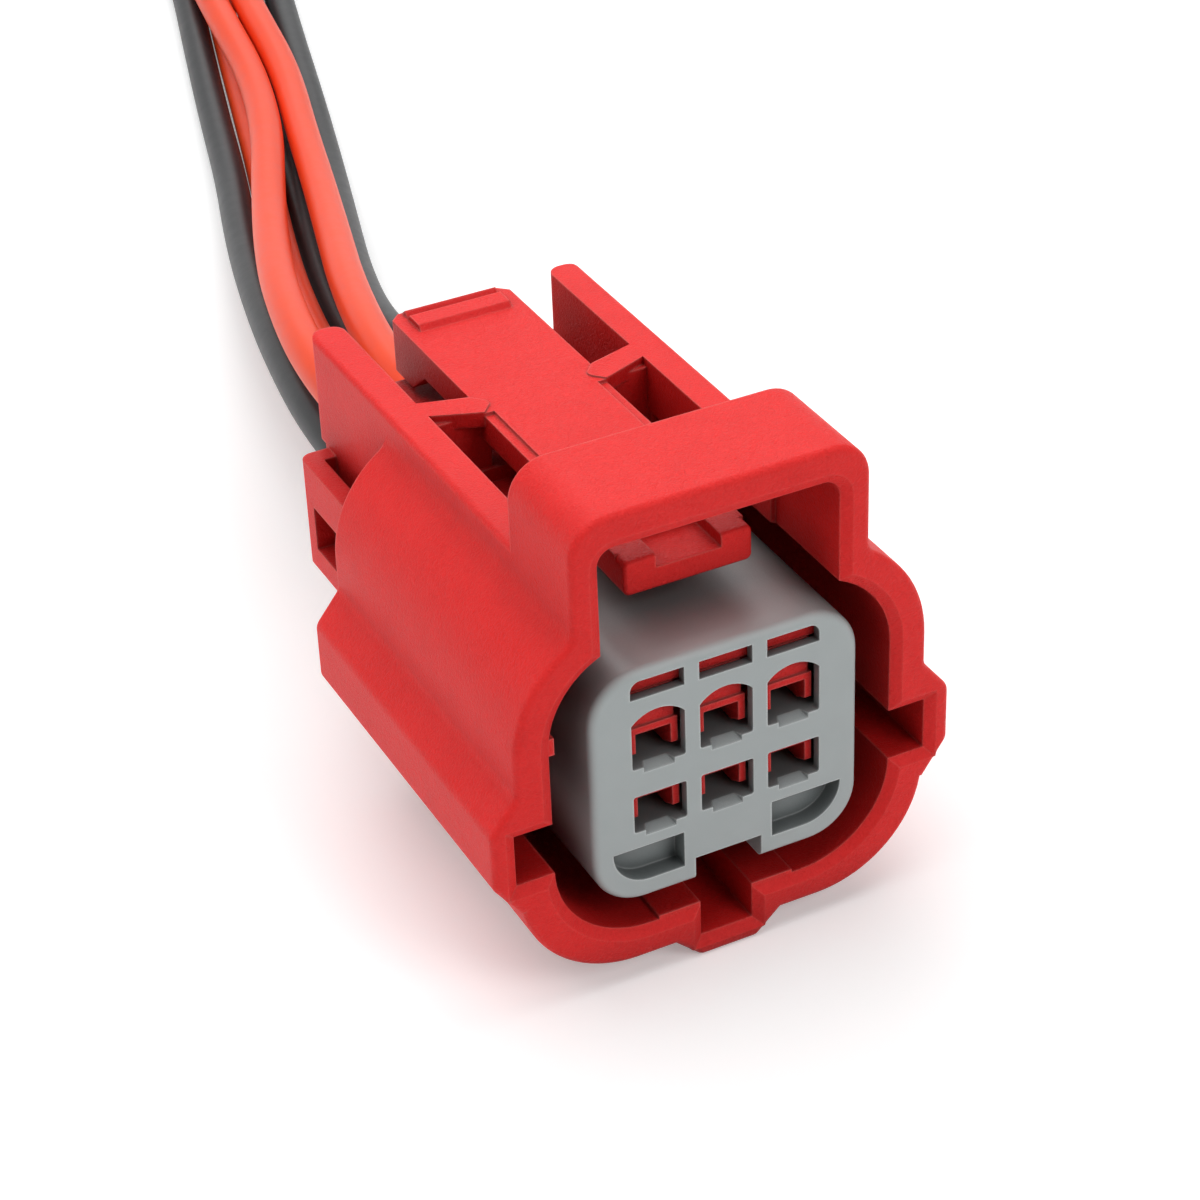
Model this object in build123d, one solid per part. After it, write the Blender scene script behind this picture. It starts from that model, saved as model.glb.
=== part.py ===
from build123d import *
import os
from math import pi, radians, sqrt, tan

# A sealed six-way plug with its wires: a red one-piece moulding whose sleeve surrounds a tower of
# six cavities, a grey front retainer, seals, terminals, a rear cover and six free wires.
# Millimetres. X runs across, Y from the mating face to the wires, Z up. The origin is on the
# surface that the plug stands on, under the middle of its moulding.

# Terminal grid, seen from the mating face
columns = 3
rows = 2
column_pitch = 4.2
row_pitch = 4.25
grid_height = 13.65

# Depths from the front rim
plug_depth = 35.3
hood_depth = 7.3
rear_length = 11.3
back_wall = 2.4
sleeve_depth = plug_depth - rear_length
mating_depth = sleeve_depth - back_wall

# Sleeve, outside
sleeve_half_width = 12.8
sleeve_bottom = 1.45
shoulder_radius = 7.7
shoulder_top = 25.0
lower_radius = 7.0
shoulder_hollow_radius = 1.2
rim_round = 0.4

# Sleeve, inside
sleeve_wall = 2.2
floor_wall = 2.0
lower_inner_radius = 5.75
channel_pad_half_width = 4.3
channel_pad_height = 0.2
lead_in_width = 0.65
lead_in_depth = 0.4

# Latch box and the two guard walls behind it
box_half_width = 9.05
box_top = 31.05
box_corner_radius = 2.3
box_wall = 1.75
box_roof = 2.2
box_inner_radius = 1.0
guard_top = 25.9
guard_wall = 2.1
guard_low = 18.9
guard_end_round = 0.9

# Side keys and the foot key under the sleeve
key_reach = 14.4
key_face_low = 9.5
key_face_high = 13.1
key_root_low = 7.3
key_root_high = 15.1
key_corner_radius = 0.9
key_flank_run = 1.6
key_slot_low = 9.2
key_slot_high = 12.5
key_wall = 1.47
key_slot_reach = key_reach - key_wall
foot_half_width = 1.8
foot_root_half_width = 3.4
foot_corner_radius = 0.5
foot_channel_half_width = 1.65
foot_channel_floor = 1.28
coding_rib_low = 17.0
coding_rib_high = 18.1
coding_rib_height = 0.35

# Tower inside the sleeve
tower_half_width = 7.3
tower_drop = 7.0
tower_rise = 6.25
tower_bottom = grid_height - tower_drop
tower_top = grid_height + tower_rise
tower_corner_radius = 2.1
tower_face = 3.6
tower_flange_start = 17.0
tower_flange_step = 1.0
collar_front = 0.65
collar_half_width = 1.5
collar_wall = 0.42
collar_head = 0.6
collar_foot = 1.1
collar_foot_bevel = 0.45
crown_plate_top = 3.3
crown_plate_half_width = 1.35
crown_plate_setback = 0.15
top_bar_rise = 5.6
top_bar_thickness = 0.6
top_bar_low = grid_height + top_bar_rise
top_bar_high = top_bar_low + top_bar_thickness
top_bar_half_width = 5.9

# Cavities
cavity_width = 2.5
cavity_height = 2.5
cavity_bore_start = 13.4
cavity_bore = 3.7

# Rear body, its chamber and the clip loops on its sides
tail_length = 1.4
rear_end = plug_depth - tail_length
rear_bottom = 7.2
rear_deck = 21.8
rear_round = 1.2
chamber_floor = 3.3
chamber_start = sleeve_depth + chamber_floor
chamber_half_width = 7.1
chamber_half_height = 5.05
chamber_corner_radius = 1.5
catch_setback = 0.8
catch_length = 1.2
catch_end = rear_end - catch_setback
catch_start = catch_end - catch_length
catch_half_width = 2.4
loop_reach = 11.05
loop_wall = 1.2
loop_setback = 0.4
loop_end = rear_end - loop_setback
loop_low = 11.6
loop_high = 18.8
loop_corner_round = 0.8
loop_window_length = 4.7
loop_post = 1.8
loop_window_end = loop_end - loop_post
loop_window_start = loop_window_end - loop_window_length
loop_window_low = 13.1
loop_window_high = 16.1

# Latch lever between the guard walls
lever_half_width = 3.95
lever_top = 25.8
lever_thickness = 1.9
lever_rail_width = 0.6
lever_rail_drop = 0.2
beak_front = 3.98
beak_top = 25.05
beak_bottom = 22.85
beak_length = 2.2
beak_corner_round = 0.4
beak_front_round = 0.25
beak_notch_half_width = 2.0
beak_notch_depth = 0.8
beak_notch_end = 7.3
lever_ramp_start = 8.0
lever_ramp_end = 13.0
pad_length = 5.5
pad_start = plug_depth - pad_length
pad_bottom = 22.4
pad_bevel = 1.1
pad_rear_bevel = 0.5
pad_ridge_length = 3.3
pad_ridge_half_width = 3.05
pad_groove_setback = 1.3
pad_ridge_start = plug_depth - pad_ridge_length
pad_groove = plug_depth - pad_groove_setback
pad_ridge_height = 0.35
bridge_guard_length = 1.7
bridge_lever_length = 2.0
bridge_slant = 0.9
bridge_past_sleeve = 0.1
bridge_guard_end = sleeve_depth + bridge_past_sleeve
bridge_guard_start = bridge_guard_end - bridge_guard_length
bridge_lever_end = bridge_guard_end - bridge_slant
bridge_lever_start = bridge_lever_end - bridge_lever_length
bridge_overlap = 0.9
bridge_tip_round = 0.5
bridge_top = 25.9
bridge_thickness = 1.0
web_setback = 0.3
web_length = 1.2
web_start = mating_depth + web_setback
web_end = web_start + web_length
web_overlap = 0.6

# Front retainer
retainer_half_width = 8.35
retainer_drop = 8.05
retainer_rise = 7.3
retainer_bottom = grid_height - retainer_drop
retainer_top = grid_height + retainer_rise
retainer_corner_radius = 3.1
retainer_depth = 12.0
retainer_face = 0.6
retainer_block_depth = 3.4
retainer_clearance = 0.1
retainer_edge_round = 0.5
window_half_width = 1.64
window_foot = 1.22
window_head = 1.2
window_corner_round = 0.15
arch_spring = 1.69
arch_rise = 0.72
slot_height = 1.15
slot_margin = 0.66
slot_high = retainer_top - slot_margin
slot_low = slot_high - slot_height
slot_corner_round = 0.6
ramp_half_width = 0.95
ramp_taper = 0.25
ramp_drop = 0.35
shelf_depth = 3.3
shelf_thickness = 0.5
notch_half_width = 2.1
notch_height = 1.6
notch_top = retainer_bottom + notch_height
pocket_height = 2.35
pocket_inner = 2.79
pocket_reach = 7.2
pocket_margin = 1.3
pocket_bottom = retainer_bottom + pocket_margin
pocket_top = pocket_bottom + pocket_height
pocket_depth = 1.15
pocket_radius = 2.3

# Seals and rear cover
seal_clearance = 0.2
seal_seat = 0.1
seal_start = retainer_depth + seal_clearance
seal_end = tower_flange_start - seal_seat
seal_thickness = 0.9
seal_rib_height = 0.45
seal_rib_count = 3
mat_seat = 0.1
mat_length = 3.9
mat_start = chamber_start + mat_seat
mat_end = mat_start + mat_length
mat_groove_count = 2
mat_groove_depth = 0.3
mat_groove_width = 0.7
cover_gap = 0.1
cover_recess = 0.2
cover_start = mat_end + cover_gap
cover_end = rear_end - cover_recess
cover_clearance = 0.1
cover_hole = 3.1
cover_wall = 0.9
cover_plate = 1.2
cover_collar_wall = 0.4
cover_tab_half_width = 2.2
cover_tab_reach = 0.8

# Terminals
terminal_start = 4.3
terminal_box_length = 7.6
terminal_box_size = 2.1
terminal_sheet = 0.25
neck_length = 2.2
core_crimp_length = 2.8
core_crimp_width = 1.9
core_crimp_height = 1.5
sleeve_crimp_length = 2.2
sleeve_crimp_diameter = 3.3
spring_thickness = 0.2
spring_lift = 0.35

# Wires
wire_diameter = 2.7
core_diameter = 1.3
bare_length = 6.0
wire_start = terminal_start + terminal_box_length + neck_length + core_crimp_length
straight_behind = 2.85
bend_share = 0.45

# Each wire's free route, chosen by hand: points (x, y, z) behind the rear cover
routes = [
    [(-3.9, 31, 11.2), (-1.1, 45, 9.2), (2.5, 59, 6.6), (6.6, 73, 4.0), (11.1, 87, 2.2),
     (15.0, 101, 1.4), (19.0, 115, 1.4), (23.1, 129, 1.4), (26.5, 143, 1.4), (29.0, 156, 1.4)],
    [(0.2, 31, 10.6), (1.9, 45, 8.4), (5.3, 59, 6.2), (9.5, 73, 3.8), (14.0, 87, 1.8),
     (18.0, 101, 1.4), (21.9, 115, 1.4), (26.0, 129, 1.4), (29.6, 143, 1.4), (32.3, 157, 1.4)],
    [(4.2, 31, 10.2), (4.8, 45, 7.0), (8.1, 59, 4.4), (12.3, 73, 2.3), (16.8, 87, 1.4),
     (20.9, 101, 1.4), (24.8, 115, 1.4), (28.9, 129, 1.4), (32.7, 143, 1.4), (35.7, 155, 1.4)],
    [(-3.9, 31, 15.6), (-0.6, 45, 13.4), (4.0, 59, 10.2), (9.2, 73, 7.6), (14.7, 87, 5.8),
     (18.9, 101, 4.4), (21.4, 115, 4.2), (24.0, 129, 4.15), (27.8, 143, 4.1), (30.5, 157, 4.1)],
    [(0.8, 31, 15.4), (4.4, 45, 12.9), (9.0, 59, 9.7), (13.5, 73, 6.9), (17.7, 87, 5.0),
     (21.9, 101, 4.2), (24.4, 115, 4.2), (27.2, 129, 4.15), (31.0, 143, 4.1), (33.7, 154, 4.1)],
    [(4.4, 31, 13.2), (6.3, 45, 9.7), (10.4, 59, 6.4), (15.1, 73, 3.6), (19.7, 87, 1.5),
     (23.8, 101, 1.4), (27.7, 115, 1.4), (31.8, 129, 1.4), (35.8, 143, 1.4), (39.5, 157, 1.4)],
]


def front_plane(depth):
    """The upright plane at a depth behind the rim, seen from the front."""
    return Plane.XZ.offset(plug_depth / 2 - depth)


def slab(outline, start, end):
    """A front-view outline pushed back from one depth to another."""
    return extrude(front_plane(start) * outline, amount=start - end)


def block(x_low, x_high, z_low, z_high):
    """A front-view rectangle between two widths and two heights."""
    middle = ((x_low + x_high) / 2, (z_low + z_high) / 2)
    return Pos(*middle) * Rectangle(x_high - x_low, z_high - z_low)


def nearest(outline, points):
    """The outline's corners that lie closest to some points."""
    corners = outline.vertices()
    return [min(corners, key=lambda v: abs(v.X - x) + abs(v.Y - z)) for x, z in points]


def rounded(outline, points, radius):
    """The outline with the corners near the points rounded."""
    return fillet(nearest(outline, points), radius)


def both_sides(points):
    """Points and their mirror images across the middle."""
    return [(side * x, z) for x, z in points for side in (-1, 1)]


def barrel(half_width, bottom, top, top_radius, bottom_radius):
    """An upright rectangle with large top and bottom corners."""
    shape = block(-half_width, half_width, bottom, top)
    shape = rounded(shape, both_sides([(half_width, top)]), top_radius)
    return rounded(shape, both_sides([(half_width, bottom)]), bottom_radius)


def shoulder_height(half_width, x, top, radius):
    """Where a rounded shoulder stands at a distance from the middle."""
    run = x - (half_width - radius)
    return top - radius + sqrt(radius**2 - run**2)


def sleeve_outline(top, corner_radius):
    """The moulding's outside from the front, with its box or guard walls up to a height."""
    shape = barrel(sleeve_half_width, sleeve_bottom, shoulder_top, shoulder_radius, lower_radius)
    upper = block(-box_half_width, box_half_width, grid_height, top)
    upper = rounded(upper, both_sides([(box_half_width, top)]), corner_radius)
    shape += upper
    for side in (-1, 1):
        root = side * (sleeve_half_width - lower_radius)
        flank_start = side * (key_reach - key_flank_run)
        key = make_face(
            Polyline(
                (root, key_root_high),
                (flank_start, key_root_high),
                (side * key_reach, key_face_high),
                (side * key_reach, key_face_low),
                (flank_start, key_root_low),
                (root, key_root_low),
                close=True,
            )
        )
        face_corners = [(side * key_reach, key_face_high), (side * key_reach, key_face_low)]
        shape += rounded(key, face_corners, key_corner_radius)
    shape += make_face(
        Polyline(
            (-foot_root_half_width, sleeve_bottom),
            (-foot_half_width, 0),
            (foot_half_width, 0),
            (foot_root_half_width, sleeve_bottom),
            (foot_root_half_width, grid_height),
            (-foot_root_half_width, grid_height),
            close=True,
        )
    )
    valley = shoulder_height(sleeve_half_width, box_half_width, shoulder_top, shoulder_radius)
    hollow_radius = min(key_corner_radius, key_reach - sleeve_half_width)
    shape = rounded(shape, both_sides([(box_half_width, valley)]), shoulder_hollow_radius)
    shape = rounded(shape, both_sides([(sleeve_half_width, key_root_high)]), hollow_radius)
    return rounded(shape, both_sides([(foot_half_width, 0)]), foot_corner_radius)


def mating_outline():
    """The space between sleeve and tower, with the key slots and the foot channel."""
    half_width = sleeve_half_width - sleeve_wall
    floor = sleeve_bottom + floor_wall
    shape = barrel(
        half_width, floor, shoulder_top - sleeve_wall, shoulder_radius - sleeve_wall, lower_inner_radius
    )
    shape += block(-key_slot_reach, key_slot_reach, key_slot_low, key_slot_high)
    return shape + block(
        -foot_channel_half_width, foot_channel_half_width, foot_channel_floor, grid_height
    )


def inner_ribs():
    """The pads beside the foot channel and the coding rib on the left wall."""
    half_width = sleeve_half_width - sleeve_wall
    floor = sleeve_bottom + floor_wall
    pads = block(-channel_pad_half_width, channel_pad_half_width, sleeve_bottom, floor + channel_pad_height)
    pads -= block(-foot_channel_half_width, foot_channel_half_width, 0, grid_height)
    root = -half_width - sleeve_wall / 2
    rib = block(root, coding_rib_height - half_width, coding_rib_low, coding_rib_high)
    return slab(pads + rib, lead_in_depth, mating_depth)


def box_inside():
    """The latch box's inside from the front, down into the mating space."""
    half_width = box_half_width - box_wall
    shape = block(-half_width, half_width, grid_height, box_top - box_roof)
    return rounded(shape, both_sides([(half_width, box_top - box_roof)]), box_inner_radius)


def cavity_places():
    """Number, x and height of each cavity, the lower row first."""
    for row in range(rows):
        for column in range(columns):
            x = (column - (columns - 1) / 2) * column_pitch
            z = grid_height + (row - (rows - 1) / 2) * row_pitch
            yield row * columns + column + 1, x, z


def tower_outline(grow=0.0):
    """The tower from the front, grown by a distance all round."""
    shape = block(
        -tower_half_width - grow, tower_half_width + grow, tower_bottom - grow, tower_top + grow
    )
    return fillet(shape.vertices(), tower_corner_radius + grow)


def collar(x, z, upper):
    """The three-sided collar in front of one cavity, open at its foot."""
    head = z + collar_head
    outer = block(x - collar_half_width, x + collar_half_width, z - collar_foot, head + collar_wall)
    inner = collar_half_width - collar_wall
    shape = slab(outer - block(x - inner, x + inner, z - collar_foot, head), collar_front, tower_face)
    wedge = Plane.YZ * make_face(
        Polyline(
            (collar_front - plug_depth / 2, z - collar_foot),
            (collar_front - plug_depth / 2 + 2 * collar_foot_bevel, z - collar_foot),
            (collar_front - plug_depth / 2, z - collar_foot + collar_foot_bevel),
            close=True,
        )
    )
    shape -= Pos(x, 0, 0) * extrude(wedge, amount=collar_half_width, both=True)
    if upper:
        low = head + collar_wall
        plate = block(x - crown_plate_half_width, x + crown_plate_half_width, low, z + crown_plate_top)
        shape += slab(plate, collar_front + crown_plate_setback, tower_face)
    return shape


def terminal_tower():
    """The tower with its flange, collars, the bar over the upper row and the six cavities."""
    body = slab(tower_outline(), tower_face, mating_depth)
    body += slab(tower_outline(tower_flange_step), tower_flange_start, mating_depth)
    for number, x, z in cavity_places():
        body += collar(x, z, upper=number > columns)
    bar = block(-top_bar_half_width, top_bar_half_width, top_bar_low, top_bar_high)
    body += slab(bar, collar_front, tower_face)
    for number, x, z in cavity_places():
        body -= slab(Pos(x, z) * Rectangle(cavity_width, cavity_height), tower_face, cavity_bore_start)
        body -= slab(Pos(x, z) * Circle(cavity_bore / 2), cavity_bore_start, mating_depth)
    return body


def beak():
    """The lever's nose, with rounded edges."""
    outline = block(-lever_half_width, lever_half_width, beak_bottom, beak_top)
    outline = fillet(outline.vertices(), beak_corner_round)
    body = slab(outline, beak_front, beak_front + beak_length)
    return fillet(body.faces().sort_by(Axis.Y)[0].edges(), beak_front_round)


def bridge(side):
    """One of the two slanted bridges from lever to guard wall, on its upright web."""
    def at(depth):
        return depth - plug_depth / 2

    reach = box_half_width - guard_wall
    tip = lever_half_width - bridge_overlap
    outline = make_face(
        Polyline(
            (side * reach, at(bridge_guard_start)),
            (side * lever_half_width, at(bridge_lever_start)),
            (side * tip, at((bridge_lever_start + bridge_lever_end) / 2)),
            (side * lever_half_width, at(bridge_lever_end)),
            (side * reach, at(bridge_guard_end)),
            close=True,
        )
    )
    end = outline.vertices().sort_by(lambda v: abs(v.X))[0]
    outline = fillet(end, bridge_tip_round)
    body = Pos(0, 0, bridge_top - bridge_thickness) * extrude(outline, amount=bridge_thickness)
    low, high = sorted((side * (lever_half_width - web_overlap), side * reach))
    web = block(low, high, rear_deck, bridge_top - bridge_thickness / 2)
    return body + slab(web, web_start, web_end)


def latch_lever():
    """The latch lever with its beak, thumb pad and the two bridges that carry it."""
    def at(depth):
        return depth - plug_depth / 2

    floor = lever_top - lever_thickness
    arm_start = beak_front + beak_length / 2
    side_view = make_face(
        Polyline(
            (at(arm_start), beak_top - lever_thickness),
            (at(arm_start), beak_top),
            (at(lever_ramp_start), beak_top),
            (at(lever_ramp_end), lever_top),
            (at(plug_depth - pad_rear_bevel), lever_top),
            (at(plug_depth), lever_top - pad_rear_bevel),
            (at(plug_depth), pad_bottom),
            (at(pad_start + lever_thickness), pad_bottom),
            (at(pad_start), floor),
            (at(lever_ramp_end), floor),
            (at(lever_ramp_start), beak_top - lever_thickness),
            close=True,
        )
    )
    body = extrude(Plane.YZ * side_view, amount=lever_half_width, both=True)
    corners = body.edges().filter_by(Axis.Z).group_by(Axis.Y)[-1]
    body = chamfer(corners, pad_bevel)
    for side in (-1, 1):
        edge = side * (lever_half_width - lever_rail_width / 2)
        low = lever_top - lever_rail_drop
        rail = block(
            edge - lever_rail_width / 2, edge + lever_rail_width / 2, low, lever_top + lever_rail_drop
        )
        body -= slab(rail, beak_front + beak_length, bridge_lever_start)
    ridge = make_face(
        Polyline(
            (at(pad_ridge_start), lever_top),
            (at(pad_ridge_start) + pad_ridge_height, lever_top + pad_ridge_height),
            (at(pad_groove) - pad_ridge_height, lever_top + pad_ridge_height),
            (at(pad_groove), lever_top),
            (at(pad_groove) + pad_ridge_height, lever_top + pad_ridge_height),
            (at(plug_depth - pad_rear_bevel), lever_top),
            (at(pad_groove), lever_top - pad_ridge_height),
            close=True,
        )
    )
    body += extrude(Plane.YZ * ridge, amount=pad_ridge_half_width, both=True)
    body += beak()
    notch = block(-beak_notch_half_width, beak_notch_half_width, beak_top - beak_notch_depth, lever_top)
    body -= slab(notch, beak_front, beak_notch_end)
    return body + bridge(-1) + bridge(1)


def clip_loop(side):
    """The loop on one side of the rear body: a plate with a window, joined at both ends."""
    outer = sorted((side * (box_half_width - guard_wall / 2), side * loop_reach))
    slot = sorted((side * box_half_width, side * (loop_reach - loop_wall)))
    shape = slab(block(*outer, loop_low, loop_high), sleeve_depth, loop_end)
    corner = shape.edges().filter_by(Axis.Z).sort_by(lambda e: abs(e.center().X) + e.center().Y)[-1]
    shape = fillet(corner, loop_corner_round)
    shape -= slab(block(*slot, loop_low, loop_high), sleeve_depth, loop_end - loop_wall)
    window = sorted((side * (loop_reach - loop_wall), side * loop_reach))
    hole = block(*window, loop_window_low, loop_window_high)
    return shape - slab(hole, loop_window_start, loop_window_end)


def housing():
    """The moulding's front: sleeve, latch box, back wall and the front of the guard walls."""
    channel = box_half_width - guard_wall
    body = slab(sleeve_outline(box_top, box_corner_radius), 0, hood_depth)
    body += slab(sleeve_outline(guard_top, rim_round), hood_depth, sleeve_depth)
    body -= slab(block(-channel, channel, rear_deck, box_top), hood_depth, sleeve_depth)
    socket = mating_outline() + block(-channel, channel, grid_height, rear_deck)
    body -= slab(socket, 0, mating_depth)
    body -= slab(box_inside(), 0, hood_depth)
    rim = body.faces().sort_by(Axis.Y)[0]
    inner_edges = rim.inner_wires()[0].edges()
    body = chamfer(inner_edges, lead_in_width, lead_in_depth, reference=rim)
    rim = body.faces().sort_by(Axis.Y)[0]
    body = fillet(rim.outer_wire().edges(), rim_round)
    body += inner_ribs()
    return body - wire_holes(cavity_bore, mating_depth, sleeve_depth)


def rear_body():
    """The moulding's rear: seal chamber, rear deck, guard walls' tails and the two clip loops."""
    channel = box_half_width - guard_wall
    outline = block(-box_half_width, box_half_width, rear_bottom, guard_top)
    outline = rounded(outline, both_sides([(box_half_width, guard_top)]), rim_round)
    outline = rounded(outline, both_sides([(box_half_width, rear_bottom)]), rear_round)
    body = slab(block(-box_half_width, box_half_width, rear_bottom, guard_top), sleeve_depth, rear_end)
    body += slab(block(-box_half_width, box_half_width, guard_low, guard_top), rear_end, plug_depth)
    body -= slab(block(-channel, channel, rear_deck, box_top), sleeve_depth, plug_depth)
    body -= slab(block(-channel, channel, guard_low, box_top), rear_end, plug_depth)
    ends = body.faces().sort_by(Axis.Y)[-2:].edges()
    ends = ends.filter_by(Axis.Z) + ends.filter_by(Axis.X).group_by(Axis.Z)[0]
    body = fillet(ends, guard_end_round) & slab(outline, sleeve_depth, plug_depth)
    for side in (-1, 1):
        body += clip_loop(side)
    body -= slab(chamber_outline(), chamber_start, plug_depth)
    catch_top = grid_height + chamber_half_height + cover_tab_reach + cover_clearance
    catch = block(-catch_half_width, catch_half_width, rear_bottom, catch_top)
    body -= slab(catch, catch_start, catch_end)
    return body - wire_holes(cavity_bore, sleeve_depth, chamber_start)


def window(x, z, arched):
    """One terminal window of the retainer, from the front."""
    foot = z - window_foot
    if not arched:
        shape = block(x - window_half_width, x + window_half_width, foot, z + window_head)
        return fillet(shape.vertices(), window_corner_round)
    left = (x - window_half_width, z + arch_spring)
    right = (x + window_half_width, z + arch_spring)
    outline = Polyline(left, (x - window_half_width, foot), (x + window_half_width, foot), right)
    outline += ThreePointArc(right, (x, z + arch_spring + arch_rise), left)
    shape = make_face(outline)
    return fillet(shape.vertices().group_by(Axis.Y)[0], window_corner_round)


def slot(x):
    """The slot over one upper window, its corner rounded where it lies next to the edge."""
    shape = block(x - window_half_width, x + window_half_width, slot_low, slot_high)
    if x:
        return rounded(shape, [(x + window_half_width * (1 if x > 0 else -1), slot_high)], slot_corner_round)
    return shape


def lead_ramp(x, z):
    """The sloped lead-in cut into the foot of one window."""
    front = -plug_depth / 2
    foot = z - window_foot
    wedge = make_face(
        Polyline((front, foot), (front, foot - ramp_drop), (front + retainer_face, foot), close=True)
    )
    plan = make_face(
        Polyline(
            (-ramp_half_width, front),
            (ramp_half_width, front),
            (ramp_half_width - ramp_taper, front + retainer_face),
            (ramp_taper - ramp_half_width, front + retainer_face),
            close=True,
        )
    )
    ramp = extrude(Plane.YZ * wedge, amount=ramp_half_width, both=True)
    return Pos(x, 0, 0) * (ramp & extrude(plan, amount=plug_depth))


def corner_pocket(side):
    """One of the blind pockets in the retainer's lower corners, from the front."""
    low, high = sorted((side * pocket_inner, side * pocket_reach))
    shape = block(low, high, pocket_bottom, pocket_top)
    return rounded(shape, [(side * pocket_reach, pocket_bottom)], pocket_radius)


def front_retainer():
    """The grey cap over the tower, with windows, slots, shelves, pockets and the foot notch."""
    half_width = retainer_half_width
    outline = block(-half_width, half_width, retainer_bottom, retainer_top)
    outline = fillet(outline.vertices(), retainer_corner_radius)
    body = slab(outline, 0, retainer_depth)
    front = body.faces().sort_by(Axis.Y)[0]
    body = fillet(front.edges(), retainer_edge_round)
    body -= slab(tower_outline(retainer_clearance), retainer_face, retainer_depth)
    low_shelf = grid_height - (rows - 1) / 2 * row_pitch - window_foot
    lower = outline & block(-half_width, half_width, retainer_bottom, low_shelf)
    body += slab(lower, retainer_face, retainer_block_depth)
    for number, x, z in cavity_places():
        upper = number > columns
        body -= slab(window(x, z, upper), 0, retainer_face)
        if upper:
            foot = z - window_foot
            shelf = block(-tower_half_width, tower_half_width, foot - shelf_thickness, foot)
            body += slab(shelf, retainer_face, shelf_depth)
            body -= slab(slot(x), 0, retainer_face)
        body -= lead_ramp(x, z)
    for side in (-1, 1):
        body -= slab(corner_pocket(side), 0, pocket_depth)
    notch = block(-notch_half_width, notch_half_width, retainer_bottom, notch_top)
    return body - slab(notch, 0, retainer_depth)


def perimeter_seal():
    """The ribbed rubber ring round the tower, between the retainer and the tower's flange."""
    body = slab(tower_outline(seal_thickness), seal_start, seal_end)
    rib_pitch = (seal_end - seal_start) / seal_rib_count
    for rib in range(seal_rib_count):
        start = seal_start + (rib + 0.25) * rib_pitch
        crest = slab(tower_outline(seal_thickness + seal_rib_height), start, start + rib_pitch / 2)
        ends = crest.edges().group_by(Axis.Y)
        body += chamfer(ends[0] + ends[-1], seal_rib_height * 0.6)
    return body - slab(tower_outline(), seal_start, seal_end)


def chamber_outline(inset=0.0):
    """The rear chamber from the front, shrunk by a distance all round."""
    half_width = chamber_half_width - inset
    half_height = chamber_half_height - inset
    shape = block(-half_width, half_width, grid_height - half_height, grid_height + half_height)
    return fillet(shape.vertices(), chamber_corner_radius - inset)


def wire_holes(diameter, start, end):
    """Round holes for all the wires between two depths."""
    holes = Part()
    for number, x, z in cavity_places():
        holes += slab(Pos(x, z) * Circle(diameter / 2), start, end)
    return holes


def wire_seal():
    """The rubber block that seals every wire in the rear chamber."""
    body = slab(chamber_outline(), mat_start, mat_end)
    spare = (mat_end - mat_start - mat_groove_count * mat_groove_width) / (mat_groove_count + 1)
    for groove in range(mat_groove_count):
        start = mat_start + spare + groove * (spare + mat_groove_width)
        ring = chamber_outline() - chamber_outline(mat_groove_depth)
        body -= slab(ring, start, start + mat_groove_width)
    return body - wire_holes(wire_diameter, mat_start, mat_end)


def rear_cover():
    """The snap-in cover that holds the wire seal, with a collar round each wire."""
    outline = chamber_outline(cover_clearance)
    body = slab(outline, cover_start, cover_end)
    hollow = chamber_outline(cover_clearance + cover_wall)
    for number, x, z in cavity_places():
        hollow -= Pos(x, z) * Circle(cover_hole / 2 + cover_collar_wall)
    body -= slab(hollow, cover_start + cover_plate, cover_end)
    half_width = cover_tab_half_width
    reach = chamber_half_height + cover_tab_reach
    inner = chamber_half_height - cover_clearance - cover_wall
    tabs = block(-half_width, half_width, grid_height - reach, grid_height + reach)
    tabs -= block(-half_width, half_width, grid_height - inner, grid_height + inner)
    body += slab(tabs, catch_start + cover_clearance, catch_end - cover_clearance)
    return body - wire_holes(cover_hole, cover_start, cover_end)


def terminal(x, z):
    """One female terminal: box with its contact spring, neck, core crimp and sleeve crimp."""
    half = terminal_box_size / 2
    box_end = terminal_start + terminal_box_length
    neck_end = box_end + neck_length
    outer = block(x - half, x + half, z - half, z + half)
    inner = half - terminal_sheet
    body = slab(outer - block(x - inner, x + inner, z - inner, z + inner), terminal_start, box_end)
    front = terminal_start - plug_depth / 2
    length = terminal_box_length
    spring = make_face(
        Polyline(
            (front + length, z - inner),
            (front + length / 2, z - inner + spring_lift + spring_thickness),
            (front + length / 4, z - inner + spring_lift),
            (front + length / 4, z - inner + spring_lift - spring_thickness),
            (front + length / 2, z - inner + spring_lift),
            (front + length * 0.9, z - inner - terminal_sheet / 2),
            (front + length, z - inner - terminal_sheet / 2),
            close=True,
        )
    )
    body += Pos(x, 0, 0) * extrude(Plane.YZ * spring, amount=inner / 2, both=True)
    channel = outer - block(x - inner, x + inner, z - inner, z + half)
    body += slab(channel & block(x - half, x + half, z - half, z), box_end, neck_end)
    crimp = block(x - core_crimp_width / 2, x + core_crimp_width / 2, z - half, z - half + core_crimp_height)
    for side in (-1, 1):
        crown = Pos(x + side * core_crimp_width / 4, z - half + core_crimp_height)
        crimp += crown * Circle(core_crimp_width / 4)
    body += slab(crimp, neck_end, wire_start)
    ring = Pos(x, z) * Circle(sleeve_crimp_diameter / 2)
    body += slab(ring, wire_start - terminal_sheet, wire_start + sleeve_crimp_length)
    return body - slab(Pos(x, z) * Circle(wire_diameter / 2), wire_start, plug_depth)


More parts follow.
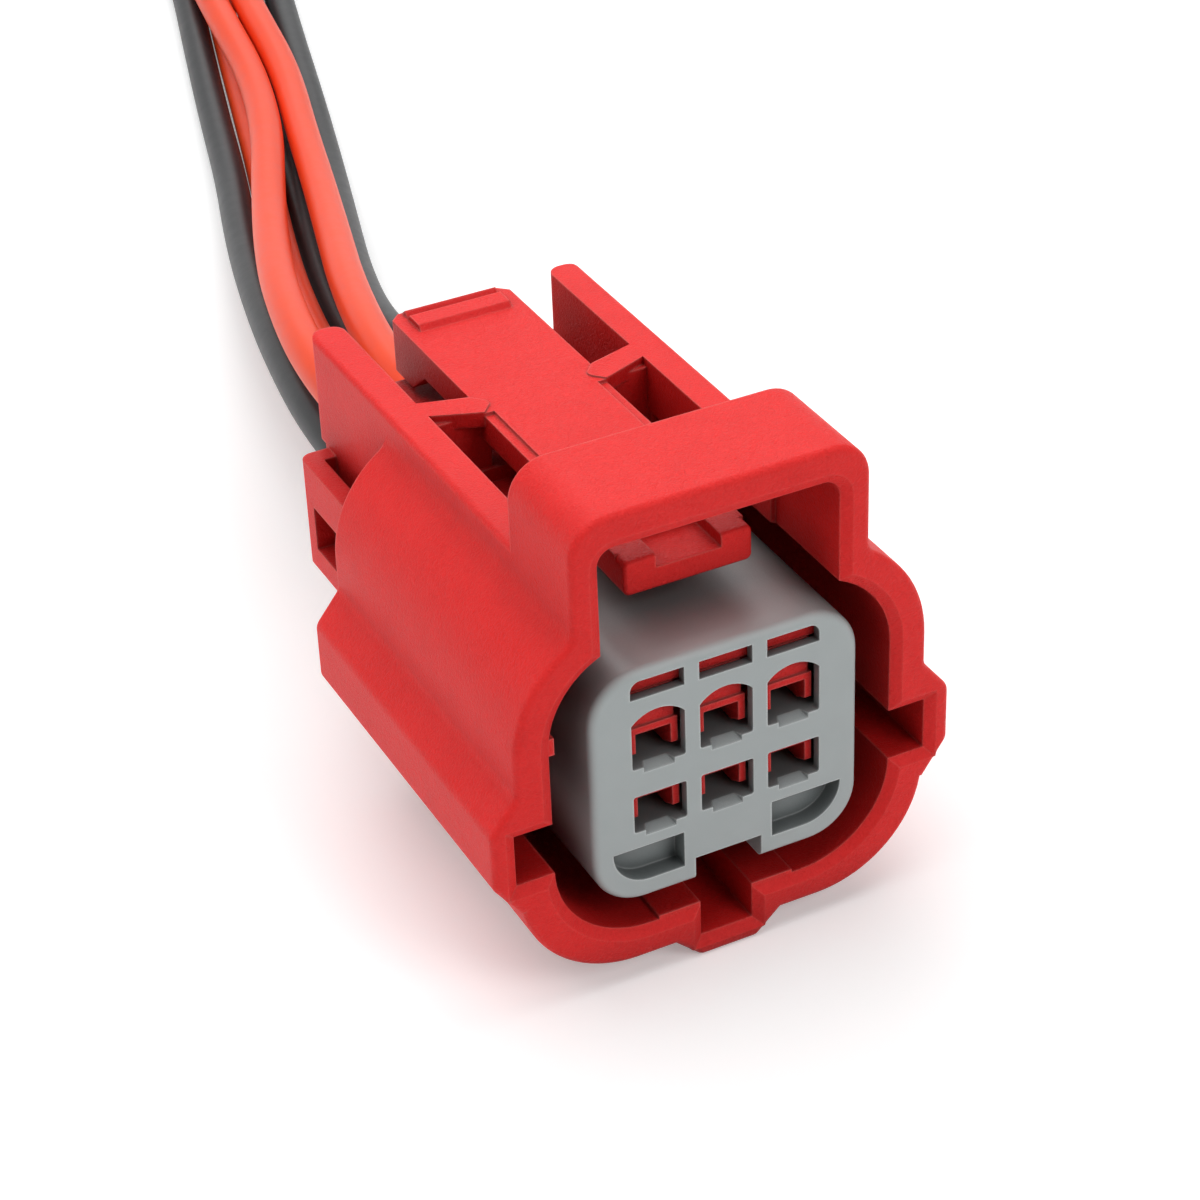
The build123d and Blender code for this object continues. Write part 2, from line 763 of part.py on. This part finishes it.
def corner_radii(points):
    """A large arc for each corner of a route, as its two runs allow."""
    radii = []
    for before, corner, after in zip(points, points[1:], points[2:]):
        run_in = corner - before
        run_out = after - corner
        half_turn = radians(run_in.get_angle(run_out)) / 2
        radii.append(bend_share * min(run_in.length, run_out.length) / tan(half_turn))
    return radii


def wire(number, x, z):
    """One insulated wire and its stripped end: straight through the seal, then free."""
    start = Vector(x, wire_start - plug_depth / 2, z)
    grip = Vector(x, mat_start - plug_depth / 2, z)
    leave = Vector(x, plug_depth / 2 + straight_behind, z)
    points = [grip, leave] + [Vector(*point) for point in routes[number - 1]]
    radii = corner_radii(points)
    inside = Line(start, grip)
    free = FilletPolyline(*points, radius=radii)
    section = Plane(origin=start, z_dir=(0, 1, 0)) * Circle(wire_diameter / 2)
    sleeve = sweep(section, path=inside + free)
    tip = Plane(origin=free @ 1, z_dir=free % 1)
    bare = extrude(tip * Circle(core_diameter / 2), bare_length)
    full_length = inside.length + free.length
    area = pi * (wire_diameter / 2) ** 2
    print(
        f"wire_{number}: length {full_length + bare_length:.1f}, smallest radius {min(radii):.1f},",
        f"volume share {sleeve.volume / (area * full_length):.4f}",
    )
    return sleeve, bare


def main():
    os.makedirs("parts", exist_ok=True)
    pieces = {
        "housing": housing(),
        "rear_body": rear_body(),
        "terminal_tower": terminal_tower(),
        "latch_lever": latch_lever(),
        "front_retainer": front_retainer(),
        "perimeter_seal": perimeter_seal(),
        "wire_seal": wire_seal(),
        "rear_cover": rear_cover(),
    }
    for number, x, z in cavity_places():
        pieces[f"terminal_{number}"] = terminal(x, z)
        pieces[f"wire_{number}"], pieces[f"bare_end_{number}"] = wire(number, x, z)
    for name, piece in pieces.items():
        export_step(piece, f"parts/{name}.step")


if __name__ == "__main__":
    main()
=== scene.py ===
"""Finishes, wires and light for the prewired connector plug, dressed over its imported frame."""

from math import radians, tau

import bmesh
import bpy
from mathutils import Matrix, Vector

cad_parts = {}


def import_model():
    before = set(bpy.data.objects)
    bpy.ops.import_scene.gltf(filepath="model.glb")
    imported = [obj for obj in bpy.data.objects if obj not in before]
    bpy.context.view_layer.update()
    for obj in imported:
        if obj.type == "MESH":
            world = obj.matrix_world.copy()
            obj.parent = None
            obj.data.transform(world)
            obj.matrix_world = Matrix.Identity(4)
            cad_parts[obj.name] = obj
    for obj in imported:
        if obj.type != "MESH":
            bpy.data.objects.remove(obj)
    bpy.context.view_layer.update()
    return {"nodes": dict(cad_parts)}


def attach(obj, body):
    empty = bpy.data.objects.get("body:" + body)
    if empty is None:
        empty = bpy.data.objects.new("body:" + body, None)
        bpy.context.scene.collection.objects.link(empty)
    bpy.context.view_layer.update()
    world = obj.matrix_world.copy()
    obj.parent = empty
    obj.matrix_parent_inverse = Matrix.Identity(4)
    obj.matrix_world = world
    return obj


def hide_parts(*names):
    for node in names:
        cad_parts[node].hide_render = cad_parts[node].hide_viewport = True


MM = 0.001

# The camera: where it stands, how it is turned, and its lens for the square frame
CAMERA_PLACE = Vector((-68.08, -142.77, 117.23)) * MM
CAMERA_AZIMUTH = 25.88
CAMERA_DROP = 33.22
CAMERA_ROLL = -2.36
FOCAL_PIXELS = 3200
FRAME_PIXELS = 1200
SENSOR_WIDTH = 36.0

# The light that the floor adds where it is looked at, so that it is nearly white beside its shadow
FLOOR_LIFT = 0.28
FLOOR_REACH = 1.5

# The faint light that comes from all round, and the point that every lamp looks at, in metres
WORLD_LIGHT = 0.04
LAMP_AIM = (0, 0, 0.01)

# Sizes repeated from the part
GRID_HEIGHT = 13.65
COLUMN_PITCH = 4.2
ROW_PITCH = 4.25
WIRE_START = -0.75
SEAL_FRONT = 9.75
BEND_START = 20.5
SLEEVE_BACK = 6.35
SHOULDER_LINE = 23.9
GUARD_INSIDE = 6.95
BRIDGE_MIDDLE = 5.6
BRIDGE_REACH = 0.9
BRIDGE_FOOT = 25.5
JOINT_REACH = 0.35
WIRE_DIAMETER = 2.7
CORE_DIAMETER = 1.3
BARE_LENGTH = 6.0
BLACK_WIRES = (1, 3, 6)

# Its strands: how many lie across the core, how full they are, their turn in degrees, their sections
STRANDS_ACROSS = 5
STRAND_FILL = 0.49
STRAND_TURN = 70
STRAND_STEPS = 12

# Each wire's free route behind the cover, as in the part: points (x, y, z) in millimetres
ROUTES = [
    [(-3.9, 31, 11.2), (-1.1, 45, 9.2), (2.5, 59, 6.6), (6.6, 73, 4.0), (11.1, 87, 2.2),
     (15.0, 101, 1.4), (19.0, 115, 1.4), (23.1, 129, 1.4), (26.5, 143, 1.4), (29.0, 156, 1.4)],
    [(0.2, 31, 10.6), (1.9, 45, 8.4), (5.3, 59, 6.2), (9.5, 73, 3.8), (14.0, 87, 1.8),
     (18.0, 101, 1.4), (21.9, 115, 1.4), (26.0, 129, 1.4), (29.6, 143, 1.4), (32.3, 157, 1.4)],
    [(4.2, 31, 10.2), (4.8, 45, 7.0), (8.1, 59, 4.4), (12.3, 73, 2.3), (16.8, 87, 1.4),
     (20.9, 101, 1.4), (24.8, 115, 1.4), (28.9, 129, 1.4), (32.7, 143, 1.4), (35.7, 155, 1.4)],
    [(-3.9, 31, 15.6), (-0.6, 45, 13.4), (4.0, 59, 10.2), (9.2, 73, 7.6), (14.7, 87, 5.8),
     (18.9, 101, 4.4), (21.4, 115, 4.2), (24.0, 129, 4.15), (27.8, 143, 4.1), (30.5, 157, 4.1)],
    [(0.8, 31, 15.4), (4.4, 45, 12.9), (9.0, 59, 9.7), (13.5, 73, 6.9), (17.7, 87, 5.0),
     (21.9, 101, 4.2), (24.4, 115, 4.2), (27.2, 129, 4.15), (31.0, 143, 4.1), (33.7, 154, 4.1)],
    [(4.4, 31, 13.2), (6.3, 45, 9.7), (10.4, 59, 6.4), (15.1, 73, 3.6), (19.7, 87, 1.5),
     (23.8, 101, 1.4), (27.7, 115, 1.4), (31.8, 129, 1.4), (35.8, 143, 1.4), (39.5, 157, 1.4)],
]

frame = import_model()
nodes = frame["nodes"]


class Value:
    """A shader socket whose sums, products and differences become Math nodes."""

    def __init__(self, finish, socket):
        self.finish = finish
        self.socket = socket

    def __add__(self, other):
        return self.finish.math("ADD", self, other)

    def __mul__(self, other):
        return self.finish.math("MULTIPLY", self, other)

    def __sub__(self, other):
        return self.finish.math("SUBTRACT", self, other)

    def __rsub__(self, other):
        return self.finish.math("SUBTRACT", other, self)

    __radd__ = __add__


class Finish:
    """One material: its nodes are grown by name, with settings first and sockets after."""

    def __init__(self, name):
        self.material = bpy.data.materials.new(name)
        self.material.use_nodes = True
        self.tree = self.material.node_tree
        self.shader = self.tree.nodes["Principled BSDF"]

    def node(self, kind, settings=None, sockets=None, output=0):
        made = self.tree.nodes.new(kind)
        for name, setting in (settings or {}).items():
            setattr(made, name, setting)
        for name, source in (sockets or {}).items():
            self.feed(made.inputs[name], source)
        return Value(self, made.outputs[output])

    def math(self, operation, first, second=0.0, clamped=False):
        settings = {"operation": operation, "use_clamp": clamped}
        return self.node("ShaderNodeMath", settings, {0: first, 1: second})

    def feed(self, socket, source):
        if isinstance(source, Value):
            self.tree.links.new(source.socket, socket)
        else:
            socket.default_value = source

    def surface(self, **sockets):
        for name, source in sockets.items():
            self.feed(self.shader.inputs[name.replace("_", " ").title()], source)

    def place(self):
        return self.node("ShaderNodeTexCoord", output="Object")

    def noise(self, size, detail=2.0, roughness=0.5, distortion=0.0, place=None):
        """Noise whose patches are about a size across, in millimetres."""
        sockets = {"Vector": place or self.place(), "Scale": 1 / (size * MM)}
        sockets.update({"Detail": detail, "Roughness": roughness, "Distortion": distortion})
        return self.node("ShaderNodeTexNoise", {}, sockets)

    def blend(self, share, first, second):
        return self.node(
            "ShaderNodeMix",
            {"data_type": "RGBA"},
            {"Factor": share, "A": first, "B": second},
            output="Result",
        )

    def bump(self, height, depth, edge=None):
        """Raises the surface by a height of 0 to 1 times a depth, in millimetres."""
        sockets = {"Height": height, "Distance": depth * MM, "Strength": 1.0}
        if edge:
            sockets["Normal"] = edge
        return self.node("ShaderNodeBump", {}, sockets)

    def soft_edge(self, radius, where=1.0):
        """Normals that round the edges by a radius in millimetres, where a share of 1 says so."""
        size = where * (radius * MM) if isinstance(where, Value) else radius * MM
        return self.node("ShaderNodeBevel", {"samples": 6}, {"Radius": size})

    def painted_edge_highlight(self, edge, reach):
        """The mask of painted edge highlights: 0 on flat faces, rising to 1 at the edges that the
        rounded normals turn over.
        """
        flat = self.node("ShaderNodeNewGeometry", output="Normal")
        agree = self.node(
            "ShaderNodeVectorMath", {"operation": "DOT_PRODUCT"}, {0: edge, 1: flat}, output="Value"
        )
        return self.math("MULTIPLY", 1.0 - agree, reach, clamped=True)

    def painted_recess_shade(self, distance, depth):
        """Painted recess shade: 1 in the open, down to 1 - depth in recesses narrower than a distance
        in millimetres.
        """
        reach = {"Distance": distance * MM}
        seen = self.node("ShaderNodeAmbientOcclusion", {"samples": 6}, reach, output="AO")
        return seen * seen * depth + (1.0 - depth)

    def with_painted_shade(self, tone, share):
        """A tone times a share of 0 to 1, so that it gets darker: shade painted into the colour."""
        return self.node("ShaderNodeVectorMath", {"operation": "SCALE"}, {0: tone, "Scale": share})

    def away(self, axis, place):
        """The distance along an axis to a place in millimetres, itself in metres."""
        spot = self.node("ShaderNodeSeparateXYZ", {}, {"Vector": self.place()}, output=axis)
        return self.math("ABSOLUTE", spot - place * MM)

    def near(self, axis, place, reach):
        """1 where the distance to a place along an axis is under a reach, in millimetres."""
        return self.math("LESS_THAN", self.away(axis, place), reach * MM)

    def beyond(self, axis, place):
        """1 where the distance from the middle along an axis is over a place, in millimetres."""
        return self.math("GREATER_THAN", self.away(axis, 0.0), place * MM)


def colour(red, green, blue):
    """A screen colour of 0 to 255 as linear light."""
    linear = [
        c / 12.92 if c <= 0.04045 else ((c + 0.055) / 1.055) ** 2.4
        for c in (red / 255, green / 255, blue / 255)
    ]
    return (*linear, 1.0)


def moulding_joints(finish):
    """1 along the lines where the red moulding's pieces meet flush, which show no edge, else 0."""
    guard_ends = finish.near("Y", SLEEVE_BACK, JOINT_REACH) * finish.beyond("Z", SHOULDER_LINE)
    bridge_ends = (
        finish.near("Y", BRIDGE_MIDDLE, BRIDGE_REACH)
        * finish.beyond("X", GUARD_INSIDE - JOINT_REACH)
        * finish.beyond("Z", BRIDGE_FOOT)
    )
    return guard_ends + bridge_ends


def moulded_red():
    """The housing's red plastic: satin, with a textured mould's fine grain, painted highlights on its
    edges and painted shade in its recesses.
    """
    finish = Finish("moulded_red")
    grain = finish.noise(0.26, detail=3.0, roughness=0.6, distortion=1.4)
    cloud = finish.noise(2.6, detail=2.0)
    edge = finish.soft_edge(0.24, where=1.0 - moulding_joints(finish))
    tone = finish.blend(cloud * 0.3 + grain * 0.7, colour(214, 10, 8), colour(254, 48, 46))
    # Painted highlight: the edges are blended towards a pale pink-red where the rounded normals turn
    # over.
    tone = finish.blend(finish.painted_edge_highlight(edge, 4.0), tone, colour(252, 104, 98))
    finish.shader.inputs["Specular IOR Level"].default_value = 0.25
    finish.surface(
        # Painted shade: the base colour is darkened in recesses narrower than 4.5 mm, down to 45 % in
        # the deepest.
        base_color=finish.with_painted_shade(tone, finish.painted_recess_shade(4.5, 0.55)),
        roughness=0.42 + grain * 0.16,
        normal=finish.bump(grain, 0.08, edge=edge),
    )
    return finish.material


def moulded_grey():
    """The retainer's cool grey plastic, smoother than the housing, with painted highlights on its
    edges and painted shade in its recesses.
    """
    finish = Finish("moulded_grey")
    grain = finish.noise(0.12, detail=2.0)
    cloud = finish.noise(3.0)
    edge = finish.soft_edge(0.2)
    tone = finish.blend(cloud, colour(168, 175, 175), colour(176, 183, 183))
    # Painted highlight: the edges are blended towards a near-white grey where the rounded normals
    # turn over.
    tone = finish.blend(finish.painted_edge_highlight(edge, 4.5), tone, colour(226, 231, 230))
    finish.surface(
        # Painted shade: the base colour is darkened in recesses narrower than 3.5 mm, down to 25 % in
        # the deepest.
        base_color=finish.with_painted_shade(tone, finish.painted_recess_shade(3.5, 0.75)),
        roughness=0.36 + grain * 0.12,
        normal=finish.bump(grain, 0.004, edge=edge),
    )
    return finish.material


def seal_rubber():
    """Dark silicone rubber with a dusty sheen."""
    finish = Finish("seal_rubber")
    grain = finish.noise(0.1, detail=3.0)
    finish.surface(
        base_color=finish.blend(grain, colour(28, 28, 30), colour(40, 40, 42)),
        roughness=0.62 + grain * 0.15,
        normal=finish.bump(grain, 0.004, edge=finish.soft_edge(0.1)),
    )
    return finish.material


def stamped_brass():
    """The terminals' bright strip, with rolling marks along it."""
    finish = Finish("stamped_brass")
    stretched = finish.node(
        "ShaderNodeMapping", {}, {"Vector": finish.place(), "Scale": (1.0, 0.08, 1.0)}
    )
    marks = finish.noise(0.05, detail=2.0, place=stretched)
    finish.surface(
        base_color=finish.blend(marks, colour(214, 176, 110), colour(230, 196, 132)),
        metallic=1.0,
        roughness=0.24 + marks * 0.14,
        normal=finish.bump(marks, 0.002, edge=finish.soft_edge(0.04)),
    )
    return finish.material


def copper_strand():
    """Drawn copper, a little dulled by the air."""
    finish = Finish("copper_strand")
    cloud = finish.noise(0.8, detail=3.0)
    finish.surface(
        base_color=finish.blend(cloud, colour(196, 118, 78), colour(222, 148, 104)),
        metallic=1.0,
        roughness=0.26 + cloud * 0.14,
    )
    return finish.material


def insulation(name, low, high):
    """Extruded wire insulation: smooth, with faint waves and handling marks."""
    finish = Finish(name)
    wave = finish.noise(1.4, detail=2.0)
    fine = finish.noise(0.09, detail=2.0)
    finish.shader.inputs["Specular IOR Level"].default_value = 0.3
    finish.surface(
        base_color=finish.blend(wave, low, high),
        roughness=0.38 + wave * 0.12,
        normal=finish.bump(wave * 0.7 + fine * 0.3, 0.012),
    )
    return finish.material


def dress(node, material):
    """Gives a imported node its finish."""
    nodes[node].data.materials.clear()
    nodes[node].data.materials.append(material)


def cavity(number):
    """Across and height of one cavity, counted from the lower left."""
    row, column = divmod(number - 1, 3)
    return (column - 1) * COLUMN_PITCH, GRID_HEIGHT + (row - 0.5) * ROW_PITCH


def route_points(number):
    """The wire's control points in metres, from its crimp through the seal and away."""
    x, z = cavity(number)
    held = [(x, WIRE_START, z), (x, SEAL_FRONT, z), (x, BEND_START, z)]
    return [Vector(point) * MM for point in held + ROUTES[number - 1]]


def wire_curve(number, material):
    """The wire's insulation as a round section along its route."""
    curve = bpy.data.curves.new(f"wire_route_{number}", "CURVE")
    curve.dimensions = "3D"
    curve.bevel_depth = WIRE_DIAMETER / 2 * MM
    curve.bevel_resolution = 7
    curve.resolution_u = 10
    curve.use_fill_caps = True
    points = route_points(number)
    spline = curve.splines.new("NURBS")
    spline.points.add(len(points) - 1)
    for slot, point in zip(spline.points, points):
        slot.co = (*point, 1.0)
    spline.order_u = 3
    spline.use_endpoint_u = True
    curve.materials.append(material)
    wire = bpy.data.objects.new(f"insulation_{number}", curve)
    bpy.context.scene.collection.objects.link(wire)
    return wire


def strand_rings(core):
    """Strand size and the rings that pack the core: its middle, six round it, twelve outside."""
    size = core / STRANDS_ACROSS
    return size, ((0.0, 1), (size, 6), (2 * size, 12))


def bare_strands(number, material):
    """The stripped end: a bundle of fine strands with a gentle twist."""
    points = route_points(number)
    tip = points[-1]
    along = (tip - points[-2]).normalized()
    turned = along.to_track_quat("Z", "Y").to_matrix().to_4x4()
    size, rings = strand_rings(CORE_DIAMETER * MM)
    mesh = bmesh.new()
    for ring_radius, count in rings:
        for strand in range(count):
            turn = Matrix.Rotation(tau * strand / count, 4, "Z")
            place = turn @ Matrix.Translation((ring_radius, 0, 0))
            corners = bmesh.ops.create_circle(
                mesh, cap_ends=True, radius=size * STRAND_FILL, segments=8, matrix=place
            )["verts"]
            faces = {face for corner in corners for face in corner.link_faces}
            edges = {edge for corner in corners for edge in corner.link_edges}
            bmesh.ops.spin(
                mesh,
                geom=[*corners, *faces, *edges],
                cent=(0, 0, 0),
                axis=(0, 0, 1),
                dvec=(0, 0, BARE_LENGTH * MM / STRAND_STEPS),
                angle=radians(STRAND_TURN),
                steps=STRAND_STEPS,
            )
    bmesh.ops.recalc_face_normals(mesh, faces=mesh.faces)
    mesh.transform(Matrix.Translation(tip) @ turned)
    data = bpy.data.meshes.new(f"strands_{number}")
    mesh.to_mesh(data)
    mesh.free()
    data.shade_smooth()
    data.materials.append(material)
    strands = bpy.data.objects.new(f"strands_{number}", data)
    bpy.context.scene.collection.objects.link(strands)
    return strands


def lay_wire(number, insulation_finish, copper):
    """One wire and its stripped end, in place of their plain solids."""
    wire = wire_curve(number, insulation_finish)
    strands = bare_strands(number, copper)
    for piece in (wire, strands):
        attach(piece, "root")
    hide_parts(f"wire_{number}")
    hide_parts(f"bare_end_{number}")


def camera():
    """The camera at the photographed viewing angle."""
    data = bpy.data.cameras.new("camera")
    data.sensor_width = SENSOR_WIDTH
    data.lens = FOCAL_PIXELS / FRAME_PIXELS * SENSOR_WIDTH
    data.clip_start = 0.01
    data.clip_end = 10.0
    view = bpy.data.objects.new("camera", data)
    turn = (
        Matrix.Rotation(radians(-CAMERA_AZIMUTH), 4, "Z")
        @ Matrix.Rotation(radians(90 - CAMERA_DROP), 4, "X")
        @ Matrix.Rotation(radians(CAMERA_ROLL), 4, "Z")
    )
    view.matrix_world = Matrix.Translation(CAMERA_PLACE) @ turn
    bpy.context.scene.collection.objects.link(view)
    bpy.context.scene.camera = view


def softbox(name, place, size, power):
    """A large square lamp that looks at the plug."""
    data = bpy.data.lights.new(name, "AREA")
    data.shape = "SQUARE"
    data.size = size
    data.energy = power
    lamp = bpy.data.objects.new(name, data)
    lamp.location = place
    lamp.rotation_euler = (Vector(LAMP_AIM) - Vector(place)).to_track_quat("-Z", "Y").to_euler()
    bpy.context.scene.collection.objects.link(lamp)


def seen_directly(tree):
    """1 for rays from the camera, mirror images and clear parts, 0 for light that falls on things."""
    rays = tree.nodes.new("ShaderNodeLightPath")
    total = rays.outputs["Is Camera Ray"]
    for name in ("Is Glossy Ray", "Is Transmission Ray"):
        either = tree.nodes.new("ShaderNodeMath")
        either.operation = "MAXIMUM"
        tree.links.new(total, either.inputs[0])
        tree.links.new(rays.outputs[name], either.inputs[1])
        total = either.outputs[0]
    return total


def floor():
    """A plain pale floor under the plug, with a soft shadow."""
    mesh = bmesh.new()
    bmesh.ops.create_grid(mesh, x_segments=1, y_segments=1, size=FLOOR_REACH)
    data = bpy.data.meshes.new("floor")
    mesh.to_mesh(data)
    mesh.free()
    finish = Finish("pale_floor")
    finish.shader.inputs["Specular IOR Level"].default_value = 0.0
    finish.surface(
        base_color=colour(246, 246, 246),
        roughness=0.9,
        emission_color=(1.0, 1.0, 1.0, 1.0),
        emission_strength=Value(finish, seen_directly(finish.tree)) * FLOOR_LIFT,
    )
    data.materials.append(finish.material)
    plane = bpy.data.objects.new("floor", data)
    bpy.context.scene.collection.objects.link(plane)


def world():
    """Faint, even light from all round, and plain white where it is seen directly."""
    scene_world = bpy.data.worlds.new("studio")
    scene_world.use_nodes = True
    tree = scene_world.node_tree
    background = tree.nodes["Background"]
    background.inputs["Color"].default_value = (1.0, 1.0, 1.0, 1.0)
    seen = tree.nodes.new("ShaderNodeMix")
    seen.data_type = "FLOAT"
    tree.links.new(seen_directly(tree), seen.inputs["Factor"])
    seen.inputs["A"].default_value = WORLD_LIGHT
    seen.inputs["B"].default_value = 1.0
    tree.links.new(seen.outputs["Result"], background.inputs["Strength"])
    bpy.context.scene.world = scene_world


def studio():
    """A broad softbox overhead, weak fills in front and at the left, and a dim panel behind."""
    world()
    softbox("overhead", (-0.05, 0.15, 0.65), size=0.9, power=5.1)
    softbox("fill", (0.2, -0.45, 0.35), size=0.3, power=1.1)
    softbox("left", (-0.55, 0.05, 0.3), size=0.4, power=0.5)
    softbox("back", (0.25, 0.55, 0.42), size=0.4, power=0.7)
    bpy.context.scene.view_settings.view_transform = "Standard"


def main():
    camera()
    copper = copper_strand()
    black = insulation("insulation_black", colour(24, 25, 27), colour(34, 36, 38))
    red = insulation("insulation_red", colour(238, 64, 22), colour(248, 78, 32))
    for number in range(1, 7):
        lay_wire(number, black if number in BLACK_WIRES else red, copper)
    housing_red = moulded_red()
    rubber = seal_rubber()
    brass = stamped_brass()
    for piece in ("housing", "rear_body", "terminal_tower", "latch_lever", "rear_cover"):
        dress(piece, housing_red)
    dress("front_retainer", moulded_grey())
    dress("perimeter_seal", rubber)
    dress("wire_seal", rubber)
    for number in range(1, 7):
        dress(f"terminal_{number}", brass)
    floor()
    studio()


main()
